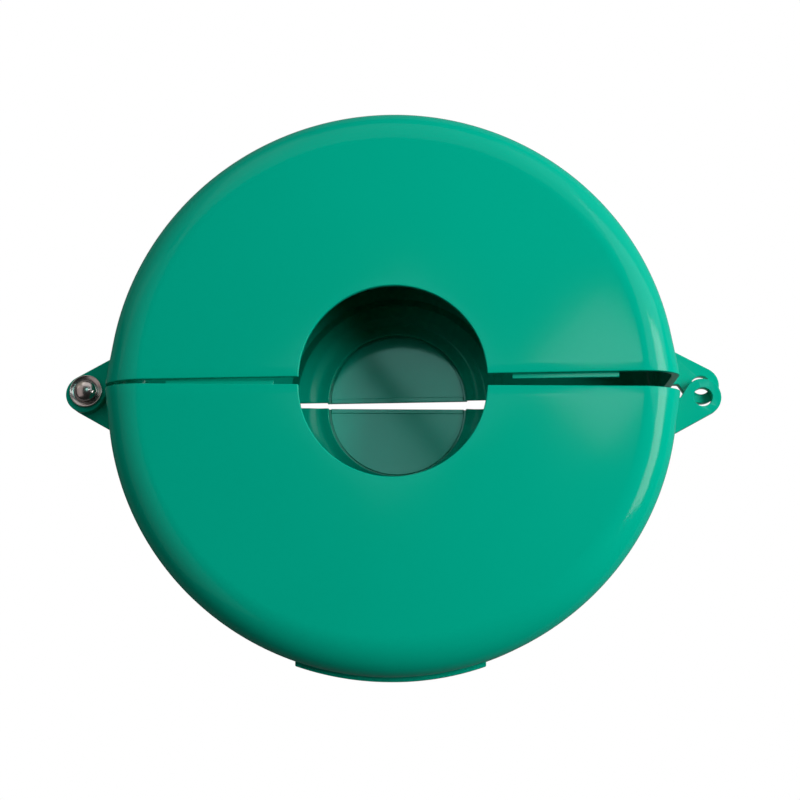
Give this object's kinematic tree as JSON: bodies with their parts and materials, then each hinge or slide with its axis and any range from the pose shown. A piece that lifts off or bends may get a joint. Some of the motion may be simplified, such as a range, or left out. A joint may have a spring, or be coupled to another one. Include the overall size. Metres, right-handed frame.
{
  "type": "gate valve handwheel lockout cover",
  "caption": "Hinged drum-shaped plastic cover that closes round a gate valve handwheel, with a stem hole, a knock-out disc and lapped padlock lugs.",
  "frame": {"origin": "on the drum's axis, in the plane of the back face, which is the middle of the bottom of the bounding box", "axes": "+Z along the drum's axis from the back wall to the front wall with the stem hole, +X from the hinge rivet towards the padlock lugs, +Y towards the upper half shell"},
  "size_m": [0.3256, 0.2836, 0.063],
  "materials": {
    "green_plastic": "semi-gloss moulded polypropylene",
    "green_plastic_knockout": "semi-gloss moulded polypropylene",
    "nickel_plated_steel": "bright nickel plate"
  },
  "bodies": {
    "lower_half": {"lower_half_shell": "green_plastic", "lower_knockout": "green_plastic_knockout", "hinge_rivet": "nickel_plated_steel", "front_washer": "nickel_plated_steel", "back_washer": "nickel_plated_steel"},
    "upper_half": {"upper_half_shell": "green_plastic", "upper_knockout": "green_plastic_knockout"}
  },
  "joints": [
    {"name": "hinge", "type": "hinge", "parent": "lower_half", "child": "upper_half", "pos_m": [-0.1535, 0, 0], "axis": [0, 0, 1], "range_deg": [-1.3, 220]}
  ]
}
